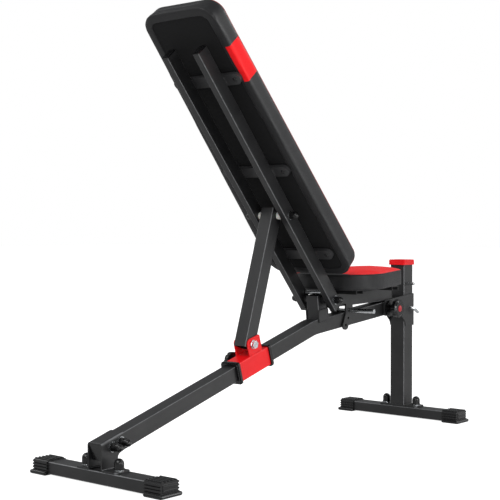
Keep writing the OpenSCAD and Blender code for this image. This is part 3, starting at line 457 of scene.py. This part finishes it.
def foldUnder(shell, low, flat):
    # cut the cover off above its underside, then fold it in over the board, ring by ring
    cut = metres(low + turnUnder["above"])
    cutPlane(shell, (0, 0, cut), (0, 0, 1), clear_inner=True)
    bmesh.ops.remove_doubles(shell, verts=[v for v in shell.verts if v.co.z < cut + millimetre],
                             dist=metres(turnUnder["merge"]))
    rim = [e for e in shell.edges if e.is_boundary]
    for v in {v for e in rim for v in e.verts}:
        v.co.z = cut
    lid = bmesh.ops.contextual_create(shell, geom=rim)["faces"]
    bmesh.ops.recalc_face_normals(shell, faces=shell.faces)
    rings = []
    for inward, outward in turnUnder["lip"] + flat + turnUnder["tuck"]:
        if inward:
            ring = bmesh.ops.inset_region(shell, faces=lid, thickness=metres(inward), depth=metres(outward),
                                          use_even_offset=False, use_boundary=True)["faces"]
        else:
            before = set(shell.faces)
            made = bmesh.ops.extrude_face_region(shell, geom=lid)["geom"]
            top = [f for f in made if isinstance(f, bmesh.types.BMFace)]
            bmesh.ops.translate(shell, vec=(0, 0, -metres(outward)),
                                verts=list({v for f in top for v in f.verts}))
            bmesh.ops.delete(shell, geom=[f for f in lid if f.is_valid], context="FACES")
            lid = top
            ring = [f for f in shell.faces if f not in before and f not in top]
        rings.append(ring)
    bmesh.ops.triangulate(shell, faces=[f for f in lid if f.is_valid])
    return rings


def addWelt(name, seam, radius, material, body, place, step=6):
    # piping along a seam cut, drawn in steps of so many mm
    edges = [e for e in seam if isinstance(e, bmesh.types.BMEdge)]
    route = [place @ co for co in evenRoute(seamRoute(edges), metres(step))]
    sweepPiece(name, [route], metres(radius), material, body, closed=True)


backPad = {  # mm; low and high are distances up the back from the pivot
    "low": 69.1, "high": 918, "halfLow": 141, "halfHigh": 114, "corner": 45,
    "rear": 29.6, "front": 86.6, "roll": 16, "rollSteps": 6,
    "shrink": -0.6, "thinner": 1.2,  # start the front smaller and the sides larger; foam swells both
    "voxel": 5, "held": 6, "cap": 3, "smooth": 2,
    "flat": ((5.0, 0.1), (8.0, -0.2)),  # stretch of the fold that lies on the board
    "seam": 81,  # where the red front panel is sewn to the black side band
    "insert": (704, 806), "insertSide": 85,  # red side inserts, from the pivot
    "welt": 1.3,  # radius of the piping sewn into the seam
    "wrap": {-1: 6, 1: 1},  # how many rings of the fold an insert takes; the cover sits a little askew
}


def makeBackPad():
    size = backPad
    rear, seam = metres(size["rear"]), metres(size["seam"])
    lean = (size["halfLow"] - size["halfHigh"]) / (size["high"] - size["low"])
    inset = size["corner"] * math.hypot(1, lean)
    radius = metres(size["corner"] - size["shrink"])
    posts = []
    for along in (size["low"] + size["corner"], size["high"] - size["corner"]):
        half = size["halfLow"] - lean * (along - size["low"]) - inset
        posts += [(metres(-along), metres(half), radius), (metres(-along), metres(-half), radius)]
    front = metres(size["front"] - size["thinner"])
    shell = roundPostHull(posts, rear, front)
    rollEdges(shell, edgesAt(shell, 2, front), metres(size["roll"]), size["rollSteps"])
    even = evenMesh(shell, metres(size["voxel"]))
    swell(even, lambda co: co.z < rear + metres(size["held"]), metres(size["cap"]))
    shell = coverShell(even, size["smooth"])
    rings = foldUnder(shell, size["rear"], size["flat"])
    # 1 marks what an insert may take: the side band and some rings of the fold
    for face in shell.faces:
        face.material_index = int(face.calc_center_median().z > metres(size["rear"] + turnUnder["above"]))
    for index, ring in enumerate(rings):
        for face in ring:
            side = -1 if face.calc_center_median().y < 0 else 1
            face.material_index = int(index < size["wrap"][side])
    for along in size["insert"]:
        cutPlane(shell, (metres(-along), 0, 0), (1, 0, 0))
    edges = cutPlane(shell, (0, 0, seam), (0, 0, 1))
    addWelt("backPadWelt", edges, size["welt"], pipingCrimson, "backrest", backPlace)
    low, high = (metres(end) for end in size["insert"])
    for face in shell.faces:
        middle = face.calc_center_median()
        insert = (low < -middle.x < high and abs(middle.y) > metres(size["insertSide"])
                  and face.material_index == 1)
        face.material_index = 1 if middle.z > seam or insert else 0
    pad = finishPiece("backPadCover", shell, [finishes["black_vinyl"], finishes["red_vinyl"]],
                      "backrest", backPlace, rounds=1)
    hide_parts("backrest_pad")
    return pad


backPadCover = makeBackPad()
print("back pad:", len(backPadCover.data.polygons), "faces")


seatPad = {  # mm
    "rearPosts": (106, 52, 90), "frontPosts": (263, 29, 67),  # corners: how far ahead and aside, radius
    "low": 24.1, "seam": 69.1, "roll": 3, "rollSteps": 2,
    "shrink": 0.4, "thinner": 0.5,  # sides and top start smaller by this, as foam swells them
    "voxel": 4, "held": 5, "sewn": 4, "cap": 4.5, "smooth": 1,
    "flat": ((13.0, 0),),  # stretch of the fold that lies on the board
    "topBand": (4, 1),  # what counts as the top's rim, below and above it
    "weltDrop": 1.5, "welt": 1.4,  # piping below the rim, and its radius
    "crown": 11.5, "crownRun": 34,  # rise of the middle, and how far in from the seam it takes
    "rearRun": 72, "rearEase": 90,  # longer by this at the rear edge, easing off forwards: room for the back
    "lap": 14,  # black band turned over the rear edge
}


def edgeDistance(co, posts):
    # metres inside the outline that two pairs of posts draw
    (x1, y1, r1), (x2, y2, r2) = posts[1], posts[3]
    gap = math.hypot(x2 - x1, y2 - y1)
    turn = math.atan2(y2 - y1, x2 - x1) + math.acos((r1 - r2) / gap)
    side = abs(co.y)
    line = r1 - ((co.x - x1) * math.cos(turn) + (side - y1) * math.sin(turn))
    if side < y2 and co.x > x2:
        return x2 + r2 - co.x
    if side < y1 and co.x < x1:
        return co.x - (x1 - r1)
    for x, y, radius, ahead in ((x1, y1, r1, -1), (x2, y2, r2, 1)):
        if side > y and (co.x - x) * ahead > 0 and (math.atan2(side - y, co.x - x) - turn) * ahead < 0:
            return radius - math.hypot(co.x - x, side - y)
    return line


def makeSeatPad():
    size = seatPad
    posts = [(metres(x), metres(side * y), metres(radius - size["shrink"]))
             for x, y, radius in (size["rearPosts"], size["frontPosts"]) for side in (-1, 1)]
    rear = size["rearPosts"][0] - size["rearPosts"][2]
    low, top = metres(size["low"]), metres(size["seam"] - size["thinner"])
    below, above = (metres(part) for part in size["topBand"])
    shell = roundPostHull(posts, low, top)
    rollEdges(shell, edgesAt(shell, 2, top), metres(size["roll"]), size["rollSteps"])
    even = evenMesh(shell, metres(size["voxel"]))
    for v in even.vertices:
        if v.co.z > top - below:
            ease = max(0, 1 - (v.co.x * 1000 - rear) / size["rearEase"])
            run = size["crownRun"] + size["rearRun"] * ease
            rise = 1 - math.exp(-max(edgeDistance(v.co, posts), 0) * 1000 / run)
            v.co.z += metres(rise * size["crown"])

    def held(co):
        sewn = top - below < co.z < top + above and edgeDistance(co, posts) < metres(size["sewn"])
        return co.z < low + metres(size["held"]) or sewn

    swell(even, held, metres(size["cap"]))
    shell = coverShell(even, size["smooth"])
    foldUnder(shell, size["low"], size["flat"])
    seam = top - metres(size["weltDrop"])
    edges = cutPlane(shell, (0, 0, seam), (0, 0, 1))
    addWelt("seatPadWelt", edges, size["welt"], finishes["black_vinyl"], "seat", seatPlace)
    lap = metres(rear + size["lap"])
    cutPlane(shell, (lap, 0, 0), (1, 0, 0))
    for face in shell.faces:
        middle = face.calc_center_median()
        face.material_index = 1 if middle.z > seam and middle.x > lap else 0
    pad = finishPiece("seatPadCover", shell, [finishes["black_vinyl"], finishes["red_vinyl"]],
                      "seat", seatPlace, rounds=1)
    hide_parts("seat_pad")
    return pad


seatPadCover = makeSeatPad()
print("seat pad:", len(seatPadCover.data.polygons), "faces")


strapRow = {"first": 148.7, "pitch": 286, "count": 3}  # cross straps up the back, mm


def strapPlaces():
    return [strapRow["first"] + strapRow["pitch"] * row for row in range(strapRow["count"])]


welds = {  # mm
    "size": 1.7, "scale": 1.6, "ripple": 0.28,  # bead radius, length of one scale, and its relief
    "post": {"face": 25.4, "half": 21, "high": 38},  # foot of the front post
    "pivotPost": {"at": 37.7, "half": 20, "face": 20.3, "faceHalf": 16, "faceHigh": 20.4,
                  "sides": ((22.4, 11.6), (20.6, 45.4))},  # how far aside and how high
    "ears": {"span": (-10, 36), "side": 23.9, "high": 25.3},
    "straps": {"sides": (-61.3, -40.7, 40.7, 61.3), "half": 12, "high": 18.6, "thinner": 0.9},
}


def beadLine(start, end, place):
    # a bead's points, one for each scale
    start, end = Vector(start) / 1000, Vector(end) / 1000
    count = max(int((end - start).length * 1000 / welds["scale"]), 4)
    return [place @ start.lerp(end, k / count) for k in range(count + 1)]


def makeWelds():
    flat = Matrix.Identity(4)
    frontLength = tilted(bench["bend"], -bench["frontSlope"])
    slider = tilted(bench["slider"], -bench["rearSlope"])
    radius, ripple, footX = metres(welds["size"]), welds["ripple"], bench["footX"]

    post = welds["post"]
    face, half, high = post["face"], post["half"], post["high"]
    beads = [beadLine((footX + side * face, -half, high), (footX + side * face, half, high), flat)
             for side in (-1, 1)]
    beads += [beadLine((footX - half, side * face, high), (footX + half, side * face, high), flat)
              for side in (-1, 1)]

    post = welds["pivotPost"]
    at, half, face, high = post["at"], post["half"], post["face"], post["faceHigh"]
    wide = post["faceHalf"]
    beads += [beadLine((at + side * face, -wide, high), (at + side * face, wide, high), frontLength)
              for side in (-1, 1)]
    beads += [beadLine((at - half, side * aside, z), (at + half, side * aside, z), frontLength)
              for side in (-1, 1) for aside, z in post["sides"]]
    sweepPiece("frameWelds", beads, radius, weldCoat, "frame", ripple, sides=1)

    ears = welds["ears"]
    (start, end), high = ears["span"], ears["high"]
    beads = [beadLine((start, side * ears["side"], high), (end, side * ears["side"], high), slider)
             for side in (-1, 1)]
    sweepPiece("earWelds", beads, radius, finishes["red_powder_coat"], "slider", ripple,
               sides=1)

    straps = welds["straps"]
    half, high = straps["half"], straps["high"]
    beads = [beadLine((-along - half, y, high), (-along + half, y, high), backPlace)
             for along in strapPlaces() for y in straps["sides"]]
    sweepPiece("strapWelds", beads, radius * straps["thinner"], weldCoat, "backrest",
               ripple, sides=1)


strapScrew = {  # flanged pan head with a socket, mm
    "head": 5.6, "height": 2.3, "dome": ((0.55, 0.94), (0.85, 0.66), (0.98, 0.3)),  # shares of these two
    "recess": 1.5, "recessDeep": 1.1, "recessEdge": (0.3, 0.1), "shank": 2.8, "shankLong": 9,
    "at": 92, "seat": 19.3,  # how far aside, and where the head sits on the strap
    "steps": 24,
}


def screwProfile():
    # from the middle of the socket's floor out over the dome and down the shank
    size = strapScrew
    head, high, recess, shank = size["head"], size["height"], size["recess"], size["shank"]
    floor, tip = high - size["recessDeep"], -size["shankLong"]
    out, down = size["recessEdge"]
    profile = [(0, floor), (recess, floor), (recess, high - down), (recess + out, high)]
    profile += [(head * aside, high * up) for aside, up in size["dome"]]
    return profile + [(head, 0), (shank, 0), (shank, tip), (0, tip)]


def makeStrapScrews():
    # turned from the profile; they hold the straps to the board
    size = strapScrew
    shell = bmesh.new()
    for along in strapPlaces():
        for side in (-1, 1):
            points = [shell.verts.new((metres(r), 0, metres(z))) for r, z in screwProfile()]
            edges = [shell.edges.new(pair) for pair in zip(points, points[1:])]
            bmesh.ops.spin(shell, geom=points + edges, cent=(0, 0, 0), axis=(0, 0, 1),
                           angle=math.tau, steps=size["steps"], use_merge=True)
            verts = [v for v in shell.verts if not v.tag]
            turn = Matrix.Translation((metres(-along), metres(side * size["at"]), metres(size["seat"]))) @ \
                Matrix.Rotation(math.pi, 4, "Y")
            bmesh.ops.transform(shell, matrix=turn, verts=verts)
            for v in verts:
                v.tag = True
    bmesh.ops.remove_doubles(shell, verts=shell.verts, dist=1e-6)
    bmesh.ops.recalc_face_normals(shell, faces=shell.faces)
    finishPiece("strapScrews", shell, [finishes["black_plastic"]], "backrest", backPlace)


makeWelds()
makeStrapScrews()
print("welds and screws ready")


footCap = {  # mm; x across the foot, z up, the cap runs along y from its mouth
    "halfWidth": 26.6, "bottom": 2.0, "top": 34.4, "mouth": 159, "end": 209, "shoulder": (1.5, 1.0),
    "ribs": (9.5, 16.5, 23.5, 30.5), "ribOut": 3.4, "ribHalf": 2.5, "ribSlope": 0.9,
    "topRibs": (21, 10.5, 0), "topOut": 2.6, "topRibHalf": 2.4, "topRibCrest": 1.6,  # and the same mirrored
    "endRadius": 1.2,
    "sole": {"half": 34.5, "low": 0.2, "high": 9.5, "end": 216, "radius": 4.2},
    # raised plate and two ribs on the end: half width, low, high, how far they stand out, radius
    "endPlates": ((22, 11.5, 31.5, 1.6, 1.4), (19, 14.5, 18.5, 2.6, 1.2), (19, 23.5, 27.5, 2.6, 1.2)),
    "sunk": 3,  # how deep they start in the end
}


def rolledBlock(shell, low, high, radius, segments):
    # box between two corners with every edge rolled
    made = bmesh.ops.create_cube(shell, size=1)["verts"]
    bmesh.ops.scale(shell, vec=[metres(b - a) for a, b in zip(low, high)], verts=made)
    bmesh.ops.translate(shell, vec=[metres(a + b) / 2 for a, b in zip(low, high)], verts=made)
    rollEdges(shell, list({e for v in made for e in v.link_edges}), metres(radius), segments)


def ribbedSection():
    # half of the cap's outline, from the sole up the side and over to the middle of the top
    size = footCap
    wide, top, crest = size["halfWidth"], size["top"], size["top"] + size["topOut"]
    side = [(wide, size["bottom"])]
    for z in size["ribs"]:
        low, high, out = z - size["ribHalf"], z + size["ribHalf"], wide + size["ribOut"]
        side += [(wide, low), (out, low + size["ribSlope"]), (out, high - size["ribSlope"]), (wide, high)]
    side += [(wide, top - size["shoulder"][1]), (wide - size["shoulder"][0], top)]
    for x in size["topRibs"]:
        side += [(x + size["topRibHalf"], top), (x + size["topRibCrest"], crest)]
        if x > 0:
            side += [(x - size["topRibCrest"], crest), (x - size["topRibHalf"], top)]
    return side


def makeFootCaps(name, x, node):
    size, sole = footCap, footCap["sole"]
    shell = bmesh.new()
    half = ribbedSection()
    outline = half + [(-px, pz) for px, pz in reversed(half)]
    for side in (-1, 1):
        mouth = metres(side * size["mouth"])
        face = shell.faces.new([shell.verts.new((metres(px), mouth, metres(pz))) for px, pz in outline])
        made = bmesh.ops.extrude_face_region(shell, geom=[face])["geom"]
        far = [v for v in made if isinstance(v, bmesh.types.BMVert)]
        bmesh.ops.translate(shell, vec=(0, metres(side * (size["end"] - size["mouth"])), 0), verts=far)
        rollEdges(shell, edgesAt(shell, 1, side * metres(size["end"]), 1e-6), metres(size["endRadius"]), 2)
        near, deep = sorted((side * (size["mouth"] + 1), side * sole["end"]))
        rolledBlock(shell, (-sole["half"], near, sole["low"]), (sole["half"], deep, sole["high"]),
                    sole["radius"], 4)
        for wide, low, high, out, radius in size["endPlates"]:
            near, deep = sorted((side * (size["end"] - size["sunk"]), side * (size["end"] + out)))
            rolledBlock(shell, (-wide, near, low), (wide, deep, high), radius, 2)
    bmesh.ops.recalc_face_normals(shell, faces=shell.faces)
    caps = finishPiece(name, shell, [finishes["black_plastic"]], "frame",
                       Matrix.Translation((x, 0, 0)), smooth=False)
    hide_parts(node)


makeFootCaps("rearFootCapsRibbed", metres(-bench["footX"]), "rear_foot_caps")
makeFootCaps("frontFootCapsRibbed", metres(bench["footX"]), "front_foot_caps")
print("foot caps ready")


camera = {
    "place": (-2.37456, -1.90524, 0.56968),  # metres
    "heading": 49.99, "dip": 0.97,  # degrees from +y towards +x, and below level
    "lens": 82.44, "sensor": 36, "clip": (0.05, 60),
}


def makeCamera():
    data = bpy.data.cameras.new("camera")
    data.lens = camera["lens"]
    data.sensor_width = camera["sensor"]
    data.clip_start, data.clip_end = camera["clip"]
    seen = bpy.data.objects.new("camera", data)
    seen.location = camera["place"]
    seen.rotation_euler = (math.radians(90 - camera["dip"]), 0, -math.radians(camera["heading"]))
    scene.collection.objects.link(seen)
    scene.camera = seen


studio = {
    "suns": (
        # name, direction it shines from, energy, degrees across
        ("topRear", (-0.66, 0.0, 0.75), 1.45, 40),
        ("sideFront", (0.75, -0.62, 0.3), 0.5, 40),
    ),
    "boxes": (
        # name, place, aim, width, depth, watts
        ("rightBox", (-0.8, -3.9, 1.3), (0, 0, 0.5), 0.8, 0.8, 38),
        ("behindCamera", (-3.3, -3.1, 1.2), (0, 0, 0.5), 0.35, 0.35, 20),
        ("lowStrip", (0.2, -1.5, 0.03), (0, -0.2, 0.8), 1.8, 0.25, 8),
        ("highStrip", (2.2, -0.6, 2.2), (0, 0, 0.4), 1.8, 0.3, 14),
        ("leftBox", (-1.2, 3.4, 2.2), (0, 0, 0.5), 2.0, 2.0, 30),
    ),
    "sky": 0.34, "skyTint": "#f4f6f8",
    "floorWhite": 0.9, "floorBounce": 0.12, "floorHalf": 30, "paperPatch": 0.4,  # the last two in metres
}


def makeFloor():
    # seamless paper; the camera sees it lit to white, as a cove is, and its bounce stays weak
    material, tree, shader, place = startMaterial("seamlessPaper", {"Roughness": 0.9, "IOR": 1.3})
    varyColour(tree, shader, noiseAt(tree, place, studio["paperPatch"], 2), "#b9b9b9", "#bebebe")
    lit = addNode(tree, "LightPath").outputs["Is Camera Ray"]
    glow = addNode(tree, "MapRange", {"Value": lit, "To Min": studio["floorBounce"],
                                      "To Max": studio["floorWhite"]})
    shader.inputs["Emission Color"].default_value = (1, 1, 1, 1)
    tree.links.new(glow.outputs[0], shader.inputs["Emission Strength"])
    shell = bmesh.new()
    bmesh.ops.create_grid(shell, x_segments=4, y_segments=4, size=studio["floorHalf"])
    mesh = bpy.data.meshes.new("studioFloor")
    shell.to_mesh(mesh)
    shell.free()
    mesh.materials.append(material)
    floor = bpy.data.objects.new("studioFloor", mesh)
    scene.collection.objects.link(floor)


def addLamp(name, kind, settings, place, towards):
    data = bpy.data.lights.new(name, kind)
    for setting, value in settings.items():
        setattr(data, setting, value)
    lamp = bpy.data.objects.new(name, data)
    lamp.location = place
    lamp.rotation_euler = (Vector(place) - Vector(towards)).to_track_quat("Z", "Y").to_euler()
    lamp.visible_camera = False
    scene.collection.objects.link(lamp)


def makeLights():
    for name, place, energy, spread in studio["suns"]:
        addLamp(name, "SUN", {"energy": energy, "angle": math.radians(spread)}, place, (0, 0, 0))
    for name, place, aim, width, depth, watts in studio["boxes"]:
        addLamp(name, "AREA", {"energy": watts, "shape": "RECTANGLE", "size": width, "size_y": depth},
                place, aim)
    world = bpy.data.worlds.new("studio")
    world.use_nodes = True
    scene.world = world
    tree = world.node_tree
    soft = tree.nodes["Background"]
    soft.inputs["Color"].default_value = rgb(studio["skyTint"])
    soft.inputs["Strength"].default_value = studio["sky"]
    white = addNode(tree, "Background", {"Color": (1, 1, 1, 1), "Strength": 1.0})
    path = addNode(tree, "LightPath")
    both = addNode(tree, "MixShader", {0: path.outputs["Is Camera Ray"], 1: soft.outputs[0],
                                       2: white.outputs[0]})
    tree.links.new(both.outputs[0], tree.nodes["World Output"].inputs["Surface"])
    scene.view_settings.view_transform = "Standard"


makeCamera()
makeFloor()
makeLights()
print("studio ready")
